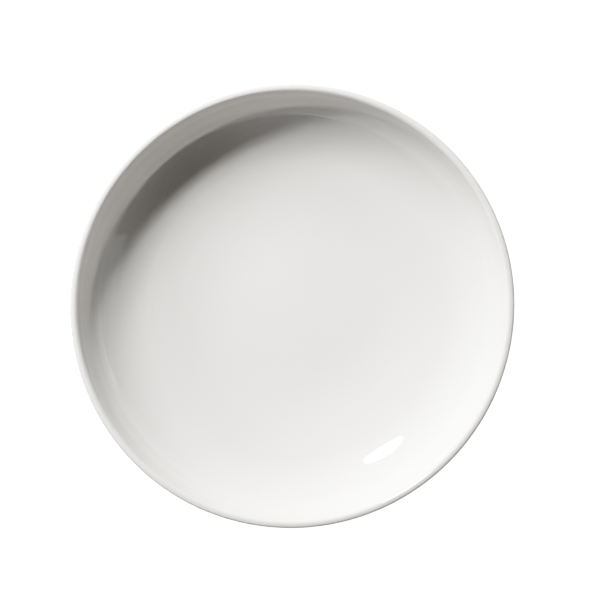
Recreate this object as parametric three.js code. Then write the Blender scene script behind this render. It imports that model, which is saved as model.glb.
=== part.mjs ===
// A deep plate: one turned porcelain body, and the coat of clear glaze fired onto it.
// The glaze covers the inside, the lip and the outside down to the foot ring, and
// a second patch of it covers the recessed base inside the ring. The foot ring's
// standing edge stays bare, so it never sticks to the kiln shelf.
// Millimetres, +Z up, origin on the table under the middle of the plate.

import * as THREE from "three";

// Driving dimensions, all measured over the glaze
const plateDiameter = 210; // across the lip
const innerDepth = 32.6; // lip crest down to the level middle of the well
const lipThickness = 3.8; // its inside eases into the wall with all that the next two leave
const lipOuterRadius = 1.1; // tighter rounding on its outside
const crestWidth = 0.5; // level top between the two roundings
const wellFlatRadius = 28; // level middle of the well
const dishRadius = 72; // where the gently dished well turns up into the wall
const dishSlope = THREE.MathUtils.degToRad(13); // slope of the well there
const floorThickness = 5; // level middle of the well down to the recessed base
const wallThickness = 4.4; // at the bottom of the wall, from where it thins to the lip
const footDiameter = 116; // outside of the foot ring
const footHeight = 3.4; // table up to the recessed base
const standingFaceWidth = 2; // flat bare face that meets the table
const footEdgeRadius = 1.2; // rounding on both sides of that face
const bareBand = 0.2; // bare upright side between the rounding and the glaze's edge
const footFillet = 2.5; // hollow between the foot ring and the outside of the wall
const recessFillet = 1.8; // hollow between the foot ring and the recessed base
const glazeThickness = 0.3;
const bondClearance = 0.004; // hair's breadth that keeps the glaze's back and the clay from crossing

// Facet counts
const turnSteps = 60;
const dishSteps = 4;
const wallSteps = 7;
const lipSteps = 3; // in each of the lip's roundings
const filletSteps = 2;
const edgeSteps = 2;

// Angles of an arc are surface slopes: nothing points down, a quarter turn points outwards
const down = 0;
const outwards = Math.PI / 2;
const up = Math.PI;
const inwards = (3 * Math.PI) / 2;

function pointOn(circle, slope, inset = 0) {
  const reach = circle.radius + circle.grows * inset;
  return new THREE.Vector2(
    circle.centre.x + reach * Math.sin(slope),
    circle.centre.y - reach * Math.cos(slope),
  );
}

function arc(circle, fromSlope, toSlope, steps, inset = 0) {
  const points = [];
  for (let i = 0; i <= steps; i += 1) {
    points.push(pointOn(circle, THREE.MathUtils.lerp(fromSlope, toSlope, i / steps), inset));
  }
  return points;
}

// A hollow face's circle grows when the face is moved into the clay, a bulging one's shrinks
const hollow = (centre, radius) => ({ centre, radius, grows: 1 });
const bulging = (centre, radius) => ({ centre, radius, grows: -1 });

// Heights and radii that follow from the driving dimensions
const clayInset = glazeThickness + bondClearance;
const wellHeight = footHeight + floorThickness;
const footRadius = footDiameter / 2;
const footWidth = standingFaceWidth + 2 * (footEdgeRadius + clayInset);
const recessRadius = footRadius - footWidth;
const bareHeight = footEdgeRadius + bareBand;

// Section circles of the inside: the lip's two roundings and the dished well, which the wall joins
const lipHeight = wellHeight + innerDepth;
const lipInnerRadius = lipThickness - lipOuterRadius - crestWidth;
const crestRadius = plateDiameter / 2 - lipOuterRadius;
const outerLip = bulging(new THREE.Vector2(crestRadius, lipHeight - lipOuterRadius), lipOuterRadius);
const innerLip = bulging(
  new THREE.Vector2(crestRadius - crestWidth, lipHeight - lipInnerRadius),
  lipInnerRadius,
);
const dishBend = (dishRadius - wellFlatRadius) / Math.sin(dishSlope);
const dish = hollow(new THREE.Vector2(wellFlatRadius, wellHeight + dishBend), dishBend);
const dishNormal = new THREE.Vector2(-Math.sin(dishSlope), Math.cos(dishSlope));

// The circle that leaves a start point at the dish's slope and touches one of the lip's roundings.
// side is 1 for the inside of the wall, which has the rounding outside it, and -1 for the outside.
function wallCircle(start, lip, side) {
  const toLip = lip.centre.clone().sub(start);
  const radius =
    (toLip.lengthSq() - lip.radius ** 2) / (2 * (toLip.dot(dishNormal) + side * lip.radius));
  return { centre: start.clone().addScaledVector(dishNormal, radius), radius, grows: side };
}

function slopeTowards(circle, point) {
  return Math.atan2(point.x - circle.centre.x, circle.centre.y - point.y);
}

const wallStart = pointOn(dish, dishSlope);
const underStart = wallStart.clone().addScaledVector(dishNormal, -wallThickness);
const innerWall = wallCircle(wallStart, innerLip, 1);
const outerWall = wallCircle(underStart, outerLip, -1);
const innerLipSlope = slopeTowards(innerWall, innerLip.centre);
const outerLipSlope = slopeTowards(outerWall, outerLip.centre);

// The underside of the dish, and the hollow that joins the foot ring to whichever part of
// the outside stands above it
const outerDish = bulging(dish.centre, dishBend + wallThickness);
function filletUnder(circle) {
  const centreRadius = footRadius + footFillet;
  const reach = circle.radius + footFillet;
  const slope = Math.asin((centreRadius - circle.centre.x) / reach);
  const centre = new THREE.Vector2(centreRadius, circle.centre.y - reach * Math.cos(slope));
  return { fillet: hollow(centre, footFillet), slope };
}
const underDish = filletUnder(outerDish);
const footMeetsDish = underDish.slope < dishSlope;
const { fillet: footHollow, slope: footSlope } = footMeetsDish ? underDish : filletUnder(outerWall);

// The glazed face from the middle of the well, over the lip and down to the foot ring,
// moved into the clay by the inset
function glazedFace(inset) {
  const outerWallEnd = footMeetsDish ? dishSlope : footSlope;
  return [
    new THREE.Vector2(0, wellHeight - inset),
    ...arc(dish, down, dishSlope, dishSteps, inset),
    ...arc(innerWall, dishSlope, innerLipSlope, wallSteps, inset).slice(1),
    ...arc(innerLip, innerLipSlope + up, up, lipSteps, inset).slice(1),
    ...arc(outerLip, up, outwards, lipSteps, inset),
    pointOn(outerLip, outerLipSlope, inset),
    ...arc(outerWall, outerLipSlope, outerWallEnd, wallSteps, inset).slice(1),
    ...(footMeetsDish ? [pointOn(outerDish, footSlope, inset)] : []),
    ...arc(footHollow, up + footSlope, inwards, filletSteps, inset).slice(1),
    new THREE.Vector2(footRadius - inset, bareHeight),
  ];
}

// The glazed face of the recessed base, from the foot ring in to the middle
const recessBend = Math.min(recessFillet, footHeight - bareHeight);
const recessHollow = hollow(
  new THREE.Vector2(recessRadius - recessBend, footHeight - recessBend),
  recessBend,
);
function recessFace(inset) {
  return [
    new THREE.Vector2(recessRadius + inset, bareHeight),
    ...arc(recessHollow, outwards, up, filletSteps, inset),
    new THREE.Vector2(0, footHeight + inset),
  ];
}

// The bare standing edge of the foot ring, from its outer rounding to its inner one
function bareFoot() {
  const outerEdge = bulging(
    new THREE.Vector2(footRadius - clayInset - footEdgeRadius, footEdgeRadius),
    footEdgeRadius,
  );
  const innerEdge = bulging(
    new THREE.Vector2(recessRadius + clayInset + footEdgeRadius, footEdgeRadius),
    footEdgeRadius,
  );
  return [
    ...arc(outerEdge, outwards, down, edgeSteps),
    ...arc(innerEdge, 2 * up, inwards, edgeSteps),
  ];
}

// A section turned about the plate's own axis, with repeated points dropped
function turned(name, section, material) {
  const joinTolerance = 1e-4;
  const outline = section.filter(
    (point, i) => i === 0 || point.distanceTo(section[i - 1]) > joinTolerance,
  );
  const geometry = new THREE.LatheGeometry(outline.reverse(), turnSteps);
  geometry.rotateX(Math.PI / 2);
  const mesh = new THREE.Mesh(geometry, material);
  mesh.name = name;
  return mesh;
}

const bareClay = new THREE.MeshStandardMaterial({ color: 0xe9e5dc, roughness: 0.75, metalness: 0 });
const whiteGlaze = new THREE.MeshStandardMaterial({ color: 0xf4f3ef, roughness: 0.08, metalness: 0 });

function porcelainBody() {
  const section = [
    ...glazedFace(clayInset),
    ...bareFoot(),
    ...recessFace(clayInset),
  ];
  return turned("porcelain_body", section, bareClay);
}

function glazeCoat() {
  const section = [...glazedFace(0), ...glazedFace(glazeThickness).reverse()];
  return turned("glaze_coat", section, whiteGlaze);
}

function baseGlaze() {
  const section = [...recessFace(glazeThickness).reverse(), ...recessFace(0)];
  return turned("base_glaze", section, whiteGlaze);
}

const deepPlate = new THREE.Group();
deepPlate.add(porcelainBody(), glazeCoat(), baseGlaze());

export default deepPlate;
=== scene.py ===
import math

import bmesh
import bpy
from mathutils import Matrix, Vector


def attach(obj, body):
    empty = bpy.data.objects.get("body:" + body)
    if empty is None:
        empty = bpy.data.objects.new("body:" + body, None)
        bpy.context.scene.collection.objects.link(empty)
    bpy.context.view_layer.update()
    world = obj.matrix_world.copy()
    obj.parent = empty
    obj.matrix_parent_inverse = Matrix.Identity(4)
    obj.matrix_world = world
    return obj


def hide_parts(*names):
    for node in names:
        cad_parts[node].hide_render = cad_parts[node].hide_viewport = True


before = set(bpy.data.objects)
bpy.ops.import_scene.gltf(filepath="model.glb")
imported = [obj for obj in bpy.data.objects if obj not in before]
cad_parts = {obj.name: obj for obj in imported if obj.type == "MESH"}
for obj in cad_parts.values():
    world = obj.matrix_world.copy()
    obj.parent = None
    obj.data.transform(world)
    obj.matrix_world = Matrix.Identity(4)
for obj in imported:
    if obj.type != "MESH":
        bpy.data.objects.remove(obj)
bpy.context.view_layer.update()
print("frame in:", sorted(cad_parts))


plateForm = {                   # metres and degrees, over the glaze
    "diameter": 0.210,
    "innerDepth": 0.0326,
    "lipThickness": 0.0038,
    "lipOuterRadius": 0.0011,
    "crestWidth": 0.0005,       # level top of the lip
    "wellFlatRadius": 0.028,
    "dishRadius": 0.072,        # where the dished well turns up into the wall
    "dishSlope": 13.0,          # of the well there
    "floorThickness": 0.005,
    "wallThickness": 0.0044,    # at the bottom of the wall
    "footDiameter": 0.116,
    "footHeight": 0.0034,       # table up to the recessed base
    "standingFaceWidth": 0.002,
    "footEdgeRadius": 0.0012,
    "bareBand": 0.0002,         # bare side of the foot, below the glaze's edge
    "footFillet": 0.0025,
    "recessFillet": 0.0018,
    "glazeThickness": 0.0003,
    "bondClearance": 0.000004,  # between the clay and the back of the glaze
}


def towards(slope):             # nothing points down, a quarter turn points outwards
    return Vector((math.sin(slope), 0, -math.cos(slope)))


def slopeFrom(centre, point):
    return math.atan2(point.x - centre.x, centre.z - point.z)


def wallCentre(start, normal, lipCentre, lipRadius, side):
    # circle that leaves start along the dish and just touches the rounded lip,
    # with the lip outside it where side is 1 and inside it where side is -1
    toLip = lipCentre - start
    bend = (toLip.length_squared - lipRadius ** 2) / (2 * (toLip.dot(normal) + side * lipRadius))
    return start + normal * bend


def solveForm(s):
    f = dict(s)
    f["clayInset"] = s["glazeThickness"] + s["bondClearance"]
    f["wellZ"] = s["footHeight"] + s["floorThickness"]
    f["lipZ"] = f["wellZ"] + s["innerDepth"]
    f["footRadius"] = s["footDiameter"] / 2
    footEdges = 2 * (s["footEdgeRadius"] + f["clayInset"])  # both sides of the standing face
    f["recessRadius"] = f["footRadius"] - s["standingFaceWidth"] - footEdges
    f["bareZ"] = s["footEdgeRadius"] + s["bareBand"]
    dishSlope = f["dishSlope"] = math.radians(s["dishSlope"])
    dishBend = (s["dishRadius"] - s["wellFlatRadius"]) / math.sin(dishSlope)
    dish = f["dish"] = Vector((s["wellFlatRadius"], 0, f["wellZ"] + dishBend))
    normal = -towards(dishSlope)
    outer = s["lipOuterRadius"]
    inner = s["lipThickness"] - outer - s["crestWidth"]     # the rest of the lip eases into the wall
    lipOut = f["lipOut"] = Vector((s["diameter"] / 2 - outer, 0, f["lipZ"] - outer))
    lipIn = f["lipIn"] = Vector((lipOut.x - s["crestWidth"], 0, f["lipZ"] - inner))
    start = dish + towards(dishSlope) * dishBend
    f["innerWall"] = wallCentre(start, normal, lipIn, inner, 1)
    f["outerWall"] = wallCentre(start - normal * s["wallThickness"], normal, lipOut, outer, -1)
    f["innerLipSlope"] = slopeFrom(f["innerWall"], lipIn)
    f["outerLipSlope"] = slopeFrom(f["outerWall"], lipOut)
    reach = dishBend + s["wallThickness"] + s["footFillet"]  # foot hollow sits under the dish
    hollowRadius = f["footRadius"] + s["footFillet"]
    f["footSlope"] = math.asin((hollowRadius - dish.x) / reach)
    f["footHollow"] = dish + towards(f["footSlope"]) * reach
    return f


form = solveForm(plateForm)


facets = {                      # along each stretch of the section
    "dish": 10,
    "innerWall": 30,
    "lipIn": 10,
    "lipOut": 12,
    "outerWall": 26,
    "underDish": 3,
    "footHollow": 10,
    "recessHollow": 10,
    "glazeEdge": 6,
    "footEdge": 8,
    "roundPlate": 144,
    "mergeDistance": 1e-7,
    "crispAngle": 50.0,         # edges bent more than this stay crisp
}


def lineTo(bm, tip, x, z):
    tip = bmesh.ops.extrude_vert_indiv(bm, verts=[tip])["verts"][0]
    tip.co = (x, 0, z)
    return tip


def arcTo(bm, tip, centre, angle, steps):    # carries the section on round a centre
    turn = bmesh.ops.spin(bm, geom=[tip], cent=centre, axis=(0, -1, 0), angle=angle, steps=steps)
    return next(v for v in turn["geom_last"] if isinstance(v, bmesh.types.BMVert))


def drawGlazedFace(bm, inset):
    # middle of the well, up the wall, over the lip and down to the foot ring
    dishSlope, footSlope = form["dishSlope"], form["footSlope"]
    innerLipSlope, outerLipSlope = form["innerLipSlope"], form["outerLipSlope"]
    wellZ = form["wellZ"] - inset
    tip = bm.verts.new((0, 0, wellZ))
    tip = lineTo(bm, tip, form["wellFlatRadius"] / 2, wellZ)
    tip = lineTo(bm, tip, form["wellFlatRadius"], wellZ)
    tip = arcTo(bm, tip, form["dish"], dishSlope, facets["dish"])
    tip = arcTo(bm, tip, form["innerWall"], innerLipSlope - dishSlope, facets["innerWall"])
    tip = arcTo(bm, tip, form["lipIn"], -innerLipSlope, facets["lipIn"])
    tip = lineTo(bm, tip, form["lipOut"].x, form["lipZ"] - inset)
    tip = arcTo(bm, tip, form["lipOut"], outerLipSlope - math.pi, facets["lipOut"])
    tip = arcTo(bm, tip, form["outerWall"], dishSlope - outerLipSlope, facets["outerWall"])
    tip = arcTo(bm, tip, form["dish"], footSlope - dishSlope, facets["underDish"])
    tip = arcTo(bm, tip, form["footHollow"], math.pi / 2 - footSlope, facets["footHollow"])
    return lineTo(bm, tip, form["footRadius"] - inset, form["bareZ"])


def drawRecess(bm, tip, inset):              # from the foot ring in to the middle of the base
    radius, bend = form["recessRadius"], form["recessFillet"]
    baseZ = form["footHeight"] + inset
    hollowZ = form["footHeight"] - bend
    tip = lineTo(bm, tip, radius + inset, hollowZ)
    tip = arcTo(bm, tip, (radius - bend, 0, hollowZ), math.pi / 2, facets["recessHollow"])
    tip = lineTo(bm, tip, radius / 2, baseZ)
    lineTo(bm, tip, 0, baseZ)


def turnPlate(bm, name, material, slot):     # the section goes once round the plate's axis
    bmesh.ops.spin(bm, geom=bm.verts[:] + bm.edges[:], cent=(0, 0, 0), axis=(0, 0, 1),
                   angle=2 * math.pi, steps=facets["roundPlate"], use_merge=True)
    bmesh.ops.remove_doubles(bm, verts=bm.verts[:], dist=facets["mergeDistance"])
    bmesh.ops.recalc_face_normals(bm, faces=bm.faces[:])
    for face in bm.faces:
        face.smooth = True
    mesh = bpy.data.meshes.new(name)
    bm.to_mesh(mesh)
    bm.free()
    mesh.set_sharp_from_angle(angle=math.radians(facets["crispAngle"]))
    mesh.materials.append(material)
    piece = bpy.data.objects.new(name, mesh)
    bpy.context.scene.collection.objects.link(piece)
    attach(piece, "root")
    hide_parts(slot["node"])
    print(name, len(mesh.polygons), "faces")


def level(bearing):             # flat direction, in degrees from +X
    b = math.radians(bearing)
    return Vector((math.cos(b), math.sin(b), 0))


def raised(bearing, drop):      # the same, tipped down from straight overhead by the drop
    d = math.radians(drop)
    return level(bearing) * math.sin(d) + Vector((0, 0, math.cos(d)))


def newGroup(name, inputs, outputs):
    group = bpy.data.node_groups.new(name, "ShaderNodeTree")
    for label, kind, value in inputs:
        socket = group.interface.new_socket(name=label, in_out="INPUT", socket_type=kind)
        if value is not None:
            socket.default_value = value
    for label, kind in outputs:
        group.interface.new_socket(name=label, in_out="OUTPUT", socket_type=kind)
    return group, group.nodes.new("NodeGroupInput"), group.nodes.new("NodeGroupOutput")


def newMaterial(name):
    material = bpy.data.materials.new(name)
    material.use_nodes = True
    tree = material.node_tree
    where = tree.nodes.new("ShaderNodeTexCoord").outputs["Object"]
    return material, tree, tree.nodes["Principled BSDF"], where


def mathNode(tree, operation, a, b=None, c=None, clamp=False):
    node = tree.nodes.new("ShaderNodeMath")
    node.operation = operation
    node.use_clamp = clamp
    for i, value in enumerate((a, b, c)):
        if value is None:
            continue
        if isinstance(value, (int, float)):
            node.inputs[i].default_value = value
        else:
            tree.links.new(value, node.inputs[i])
    return node.outputs[0]


def lengthNode(tree, vector):
    node = tree.nodes.new("ShaderNodeVectorMath")
    node.operation = "LENGTH"
    tree.links.new(vector, node.inputs[0])
    return node.outputs["Value"]


def alongNode(tree, vector, direction):      # how far a place lies in a direction
    node = tree.nodes.new("ShaderNodeVectorMath")
    node.operation = "DOT_PRODUCT"
    node.inputs[1].default_value = direction
    tree.links.new(vector, node.inputs[0])
    return node.outputs["Value"]


def rangeNode(tree, value, fromEnds=(0, 1), toEnds=(0, 1), smooth=False):
    node = tree.nodes.new("ShaderNodeMapRange")
    node.interpolation_type = "SMOOTHSTEP" if smooth else "LINEAR"
    node.inputs["From Min"].default_value, node.inputs["From Max"].default_value = fromEnds
    node.inputs["To Min"].default_value, node.inputs["To Max"].default_value = toEnds
    tree.links.new(value, node.inputs["Value"])
    return node.outputs[0]


def noiseNode(tree, vector, scale, detail=2.0, roughness=0.5):
    node = tree.nodes.new("ShaderNodeTexNoise")
    node.inputs["Scale"].default_value = scale
    node.inputs["Detail"].default_value = detail
    node.inputs["Roughness"].default_value = roughness
    tree.links.new(vector, node.inputs["Vector"])
    return node.outputs["Fac"]


def mixColours(tree, share, first, second):
    node = tree.nodes.new("ShaderNodeMix")
    node.data_type = "RGBA"
    node.inputs[6].default_value = first     # the colours come after the node's other kinds of socket
    node.inputs[7].default_value = second
    tree.links.new(share, node.inputs[0])
    return node.outputs[2]


def bumpNode(tree, height, distance):
    node = tree.nodes.new("ShaderNodeBump")
    node.inputs["Strength"].default_value = 1.0
    node.inputs["Distance"].default_value = distance
    tree.links.new(height, node.inputs["Height"])
    return node.outputs["Normal"]


turningLook = {
    "ringPitch": 220.0,         # about as many rings to a metre
    "ringDetail": 1.5,
    "driftScale": 14.0,         # patches where the rings fade in and out
    "driftDetail": 1.0,
    "shadedSide": 155.0,         # bearing of the shaded side, where the rings carry painted reflection streaks most
    "shadedReach": 0.08,         # how far out on the shaded side the painted streaks are strongest
    "litSideShare": 0.2,           # share of them on the lit side
    "climb": (0.085, 0.1),      # radii between which they come up the wall
    "inWell": 0.1,              # share of them further in
    "peelScale": 260.0,
    "peelDetail": 1.0,
}


def makeTurningMarks(s):
    # rings left by the turning tool and the slight orange peel of fired glaze, as heights; the rings also
    # give a tint streak, strongest high on the wall on the shaded side, where it is painted reflection
    # streaks
    group, gIn, gOut = newGroup(
        "turningMarks",
        [("Position", "NodeSocketVector", None), ("Rings", "NodeSocketFloat", 1.0),
         ("Peel", "NodeSocketFloat", 1.0), ("Ring Pitch", "NodeSocketFloat", s["ringPitch"])],
        [("Height", "NodeSocketFloat"), ("Streak", "NodeSocketFloat")])
    nodes, links = group.nodes, group.links
    where = gIn.outputs["Position"]
    split = nodes.new("ShaderNodeSeparateXYZ")
    links.new(where, split.inputs[0])
    flat = nodes.new("ShaderNodeCombineXYZ")
    links.new(split.outputs["X"], flat.inputs["X"])
    links.new(split.outputs["Y"], flat.inputs["Y"])
    radius = lengthNode(group, flat.outputs[0])
    climbing = mathNode(group, "ADD", radius, split.outputs["Z"])   # runs up the wall as well as out
    ringNoise = nodes.new("ShaderNodeTexNoise")
    ringNoise.noise_dimensions = "1D"
    ringNoise.inputs["Scale"].default_value = 1.0
    ringNoise.inputs["Detail"].default_value = s["ringDetail"]
    links.new(mathNode(group, "MULTIPLY", climbing, gIn.outputs["Ring Pitch"]), ringNoise.inputs["W"])
    swing = mathNode(group, "SUBTRACT", ringNoise.outputs["Fac"], 0.5)   # either way from the middle
    drift = noiseNode(group, where, s["driftScale"], s["driftDetail"])
    # painted reflection: the streaks are made strongest on the shaded side, where reflections streak the
    # shaded glaze
    across = alongNode(group, where, level(s["shadedSide"]))
    side = rangeNode(group, across, (0, s["shadedReach"]), (s["litSideShare"], 1), smooth=True)
    rise = rangeNode(group, radius, s["climb"], (s["inWell"], 1), smooth=True)
    plain = mathNode(group, "MULTIPLY", mathNode(group, "MULTIPLY", drift, side), rise)
    streak = mathNode(group, "MULTIPLY", swing, plain)
    links.new(streak, gOut.inputs["Streak"])
    rings = mathNode(group, "MULTIPLY", streak, gIn.outputs["Rings"])
    peelNoise = noiseNode(group, where, s["peelScale"], s["peelDetail"])
    peel = mathNode(group, "MULTIPLY", peelNoise, gIn.outputs["Peel"])
    links.new(mathNode(group, "ADD", rings, peel), gOut.inputs["Height"])
    return group


turningMarks = makeTurningMarks(turningLook)


glazeLook = {
    "white": (0.82, 0.818, 0.808, 1),
    "pooledAndStreaked": (0.76, 0.765, 0.75, 1),   # where the glaze runs thick, and the dark side of the painted reflection streaks
    "cloud": 0.35,              # share of the pooled tint in soft patches
    "cloudScale": 22.0,
    "cloudDetail": 3.0,
    "streak": 6.0,              # how plainly the ring streaks show in the colour, as painted reflection streaks on the shaded side
    "rings": 0.0001,            # heights in metres
    "peel": 0.000008,
    "roughness": (0.008, 0.025),
    "roughnessScale": 60.0,
    "ior": 1.52,
}


def makeGlaze(s):
    material, tree, shader, where = newMaterial("whiteGlaze")
    shader.inputs["IOR"].default_value = s["ior"]
    marks = tree.nodes.new("ShaderNodeGroup")
    marks.node_tree = turningMarks
    marks.inputs["Rings"].default_value = s["rings"]
    marks.inputs["Peel"].default_value = s["peel"]
    tree.links.new(where, marks.inputs["Position"])
    tree.links.new(bumpNode(tree, marks.outputs["Height"], 1.0), shader.inputs["Normal"])
    cloud = noiseNode(tree, where, s["cloudScale"], s["cloudDetail"])
    # ring tint and painted reflection streaks move the colour between white and the pooled tint
    streak = mathNode(tree, "MULTIPLY", marks.outputs["Streak"], s["streak"])
    pooledAndStreaked = mathNode(tree, "MULTIPLY_ADD", cloud, s["cloud"], streak, clamp=True)
    tree.links.new(mixColours(tree, pooledAndStreaked, s["white"], s["pooledAndStreaked"]), shader.inputs["Base Color"])
    gloss = rangeNode(tree, noiseNode(tree, where, s["roughnessScale"]), toEnds=s["roughness"])
    tree.links.new(gloss, shader.inputs["Roughness"])
    return material


clayLook = {
    "pale": (0.80, 0.77, 0.71, 1),
    "grain": (0.62, 0.58, 0.52, 1),
    "speckScale": 2400.0,
    "speckDetail": 3.0,
    "speckRoughness": 0.7,
    "speckPower": 3.0,          # more leaves fewer dark grains
    "roughness": (0.62, 0.86),
    "bump": 0.00006,
    "ior": 1.45,
}


def makeBareClay(s):
    material, tree, shader, where = newMaterial("bareClay")
    shader.inputs["IOR"].default_value = s["ior"]
    speck = noiseNode(tree, where, s["speckScale"], s["speckDetail"], s["speckRoughness"])
    dark = mathNode(tree, "POWER", speck, s["speckPower"])
    tree.links.new(mixColours(tree, dark, s["pale"], s["grain"]), shader.inputs["Base Color"])
    tree.links.new(rangeNode(tree, speck, toEnds=s["roughness"]), shader.inputs["Roughness"])
    tree.links.new(bumpNode(tree, speck, s["bump"]), shader.inputs["Normal"])
    return material


whiteGlaze = makeGlaze(glazeLook)
bareClay = makeBareClay(clayLook)
print("glaze and clay mixed")


def makeBody():
    bm = bmesh.new()
    inset = form["clayInset"]
    edge = form["footEdgeRadius"]
    outer = form["footRadius"] - inset
    inner = form["recessRadius"] + inset
    tip = drawGlazedFace(bm, inset)
    tip = lineTo(bm, tip, outer, edge)
    tip = arcTo(bm, tip, (outer - edge, 0, edge), -math.pi / 2, facets["footEdge"])
    tip = lineTo(bm, tip, inner + edge, 0)
    tip = arcTo(bm, tip, (inner + edge, 0, edge), -math.pi / 2, facets["footEdge"])
    drawRecess(bm, tip, inset)
    turnPlate(bm, "porcelainBody", bareClay, {"node": "porcelain_body", "finish": "bare_clay"})


def makeGlazeCoat():
    bm = bmesh.new()
    thickness = form["glazeThickness"]
    edge = drawGlazedFace(bm, 0)
    drawGlazedFace(bm, thickness)
    rollCentre = (form["footRadius"] - thickness / 2, 0, form["bareZ"])
    arcTo(bm, edge, rollCentre, -math.pi, facets["glazeEdge"])
    turnPlate(bm, "glazeCoat", whiteGlaze, {"node": "glaze_coat", "finish": "white_glaze"})


def makeBaseGlaze():
    bm = bmesh.new()
    thickness = form["glazeThickness"]
    edge = bm.verts.new((form["recessRadius"], 0, form["bareZ"]))
    drawRecess(bm, edge, 0)
    rollCentre = (form["recessRadius"] + thickness / 2, 0, form["bareZ"])
    back = arcTo(bm, edge, rollCentre, math.pi, facets["glazeEdge"])
    drawRecess(bm, back, thickness)
    turnPlate(bm, "baseGlaze", whiteGlaze, {"node": "base_glaze", "finish": "white_glaze"})


makeBody()
makeGlazeCoat()
makeBaseGlaze()


cameraSet = {
    "tilt": 7.0,                # off the plate's axis
    "bearing": -50.0,           # side the camera leans to, from +X
    "distance": 1.1,
    "frameWidth": 0.2822,       # width of the picture at the lip
    "pictureWidth": 600,        # pixels
    "lipAt": (290.5, 304.0),    # pixel of the lip's middle
    "sensorWidth": 36.0,
    "clipStart": 0.05,
}


def makeCamera(s):
    back = raised(s["bearing"], s["tilt"])
    right = Vector((0, 1, 0)).cross(back).normalized()
    up = back.cross(right)
    pixel = s["frameWidth"] / s["pictureWidth"]
    middle = s["pictureWidth"] / 2
    lipX, lipY = s["lipAt"]
    aim = Vector((0, 0, form["lipZ"])) + right * (middle - lipX) * pixel + up * (lipY - middle) * pixel
    data = bpy.data.cameras.new("camera")
    data.sensor_width = s["sensorWidth"]
    data.lens = s["sensorWidth"] * s["distance"] / s["frameWidth"]
    data.clip_start = s["clipStart"]
    camera = bpy.data.objects.new("camera", data)
    turn = Matrix((right, up, back)).transposed().to_4x4()
    camera.matrix_world = Matrix.Translation(aim + back * s["distance"]) @ turn
    bpy.context.scene.collection.objects.link(camera)
    bpy.context.scene.camera = camera


makeCamera(cameraSet)
print("camera set")


studio = {
    "floor": (0.35, 0.35, 0.35, 1),     # its white comes from the glow
    "floorRadius": 6.0,
    "floorFacets": 96,
    "floorRoughness": 0.6,
    "floorGlow": 1.3,
    "footShade": 0.3,           # share of it at the foot, a painted contact shade under the plate
    "shade": (0.06, 0.112),     # radii between which the glow comes up
    "bounce": (0.12, 0.6),      # share of it that the plate gets, from the lit side to the far side, a glow painted in for bounce light
    "bounceBearing": -50.0,     # far side, from +X
    "bounceReach": 0.12,        # from the axis to where each share is full
    "ambient": 0.03,            # what the shadows see
    "ambientTint": (1, 0.65, 0.35, 1),
    "backdrop": 1.3,            # what the camera sees
    "backdropTint": (1, 1, 1, 1),
    "horizon": (4.55, 5.15),    # degrees up, a bright edge of the room that only the glaze mirrors
    "horizonLight": 4.5,
    "lampAim": (0, 0, 0.02),
    "whiteLevel": 1.2,          # light that prints as paper white
    "shoulder": [(0.4, 0.4), (0.8, 0.795), (0.93, 0.885), (1.03, 0.93), (1.12, 0.965)],  # light, print
}


def makeFloor(s):
    bm = bmesh.new()
    bmesh.ops.create_circle(bm, cap_ends=True, segments=s["floorFacets"], radius=s["floorRadius"])
    mesh = bpy.data.meshes.new("floor")
    bm.to_mesh(mesh)
    bm.free()
    material, tree, shader, where = newMaterial("paleFloor")
    shader.inputs["Base Color"].default_value = s["floor"]
    shader.inputs["Roughness"].default_value = s["floorRoughness"]
    shader.inputs["Emission Strength"].default_value = s["floorGlow"]
    # painted contact shade: the glow dims towards the foot, under the plate
    glow = rangeNode(tree, lengthNode(tree, where), s["shade"], (s["footShade"], 1), smooth=True)
    # the floor is plain white to look at, but to the plate it glows unevenly, as painted bounce light
    across = alongNode(tree, where, level(s["bounceBearing"]))
    bounce = rangeNode(tree, across, (-s["bounceReach"], s["bounceReach"]), s["bounce"])
    ray = tree.nodes.new("ShaderNodeLightPath")
    seen = mathNode(tree, "MAXIMUM", bounce, ray.outputs["Is Camera Ray"])
    tree.links.new(mathNode(tree, "MULTIPLY", glow, seen), shader.inputs["Emission Color"])
    mesh.materials.append(material)
    floor = bpy.data.objects.new("floor", mesh)
    bpy.context.scene.collection.objects.link(floor)


def makeSky(s):
    world = bpy.data.worlds.new("studio")
    world.use_nodes = True
    tree = world.node_tree
    sky = tree.nodes["Background"]
    ray = tree.nodes.new("ShaderNodeLightPath")
    byCamera, byGlaze = ray.outputs["Is Camera Ray"], ray.outputs["Is Glossy Ray"]
    split = tree.nodes.new("ShaderNodeSeparateXYZ")
    tree.links.new(tree.nodes.new("ShaderNodeTexCoord").outputs["Generated"], split.inputs[0])
    low, high = (math.sin(math.radians(a)) for a in s["horizon"])
    band = mathNode(tree, "COMPARE", split.outputs["Z"], (low + high) / 2, (high - low) / 2)
    glint = mathNode(tree, "MULTIPLY", band, byGlaze)
    evenLight = rangeNode(tree, byCamera, toEnds=(s["ambient"], s["backdrop"]))
    strength = mathNode(tree, "MULTIPLY_ADD", glint, s["horizonLight"], evenLight)
    tree.links.new(strength, sky.inputs["Strength"])
    white = mathNode(tree, "ADD", byCamera, glint, clamp=True)
    tree.links.new(mixColours(tree, white, s["ambientTint"], s["backdropTint"]), sky.inputs["Color"])
    bpy.context.scene.world = world


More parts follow.
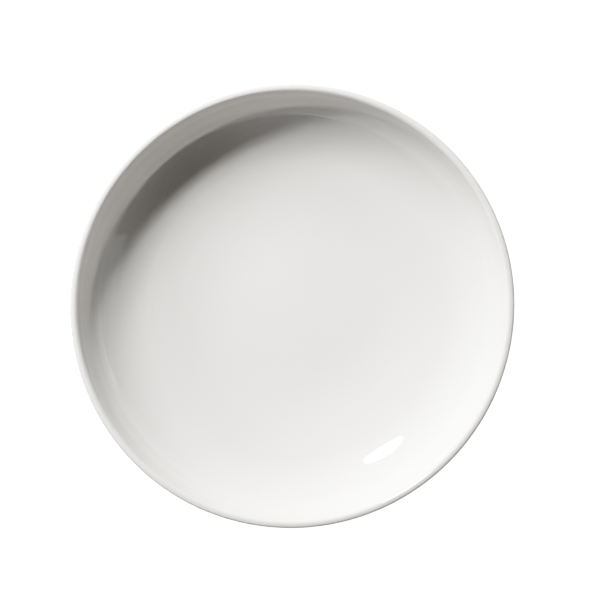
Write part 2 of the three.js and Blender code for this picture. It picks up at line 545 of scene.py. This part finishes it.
softboxes = {                   # bearing from +X, drop from straight overhead, size in metres
    "keyLight": {"bearing": 123.6, "drop": 52.7, "distance": 1.2, "size": (0.22, 0.33), "shape": "ELLIPSE",
                 "radiance": 32.5, "lights": True, "mirrored": True},
    "keyCore": {"bearing": 128, "drop": 45.5, "distance": 1.2, "size": (0.17, 0.085), "shape": "RECTANGLE",
                "radiance": 262, "lights": True, "mirrored": False},
    "leftFill": {"bearing": 195, "drop": 65, "distance": 1.2, "size": (0.35, 0.3), "shape": "RECTANGLE",
                 "radiance": 8.4, "lights": True, "mirrored": False},
    "rightFill": {"bearing": 55, "drop": 65, "distance": 1.2, "size": (0.35, 0.3), "shape": "RECTANGLE",
                  "radiance": 5.2, "lights": True, "mirrored": False},
    "sideCard": {"bearing": 8, "drop": 74.5, "distance": 1.2, "size": (1.2, 0.53), "shape": "RECTANGLE",
                 "radiance": 1.25, "lights": False, "mirrored": True, "fade": (0.05, 0.8)},
    "lowStrip": {"bearing": -50, "drop": 85.3, "distance": 1.5, "size": (0.3, 0.003), "shape": "RECTANGLE",
                 "radiance": 1660, "lights": True, "mirrored": False, "tint": (1, 0.95, 0.89)},
}


def fadeAlong(data, ends):      # one end of a card is left bright, the other runs out softly
    data.use_nodes = True
    tree = data.node_tree
    split = tree.nodes.new("ShaderNodeSeparateXYZ")
    tree.links.new(tree.nodes.new("ShaderNodeNewGeometry").outputs["Parametric"], split.inputs[0])
    fall = rangeNode(tree, split.outputs["X"], ends, (1, 0), smooth=True)
    tree.links.new(fall, tree.nodes["Emission"].inputs["Strength"])


def makeSoftbox(name, s):
    back = raised(s["bearing"], s["drop"])
    data = bpy.data.lights.new(name, "AREA")
    data.shape = s["shape"]
    data.size, data.size_y = s["size"]
    data.color = s.get("tint", (1, 1, 1))
    face = data.size * data.size_y * (math.pi / 4 if s["shape"] == "ELLIPSE" else 1)
    data.energy = s["radiance"] * math.pi * face
    if "fade" in s:
        fadeAlong(data, s["fade"])
    lamp = bpy.data.objects.new(name, data)
    lamp.location = Vector(studio["lampAim"]) + back * s["distance"]
    lamp.rotation_mode = "QUATERNION"
    lamp.rotation_quaternion = (-back).to_track_quat("-Z", "Y")
    lamp.visible_camera = False
    lamp.visible_diffuse = s["lights"]      # the card only shows up as an image in the glaze
    lamp.visible_glossy = s["mirrored"]     # fills leave no image there
    bpy.context.scene.collection.objects.link(lamp)


def printTone(s):
    view = bpy.context.scene.view_settings
    view.view_transform = "Standard"
    view.look = "None"
    view.use_curve_mapping = True
    tone = view.curve_mapping
    tone.white_level = (s["whiteLevel"],) * 3
    combined = tone.curves[3]               # after red, green and blue
    for light, paper in s["shoulder"]:
        combined.points.new(light / s["whiteLevel"], paper)
    tone.update()


makeFloor(studio)
makeSky(studio)
for name, settings in softboxes.items():
    makeSoftbox(name, settings)
printTone(studio)
print("studio set")
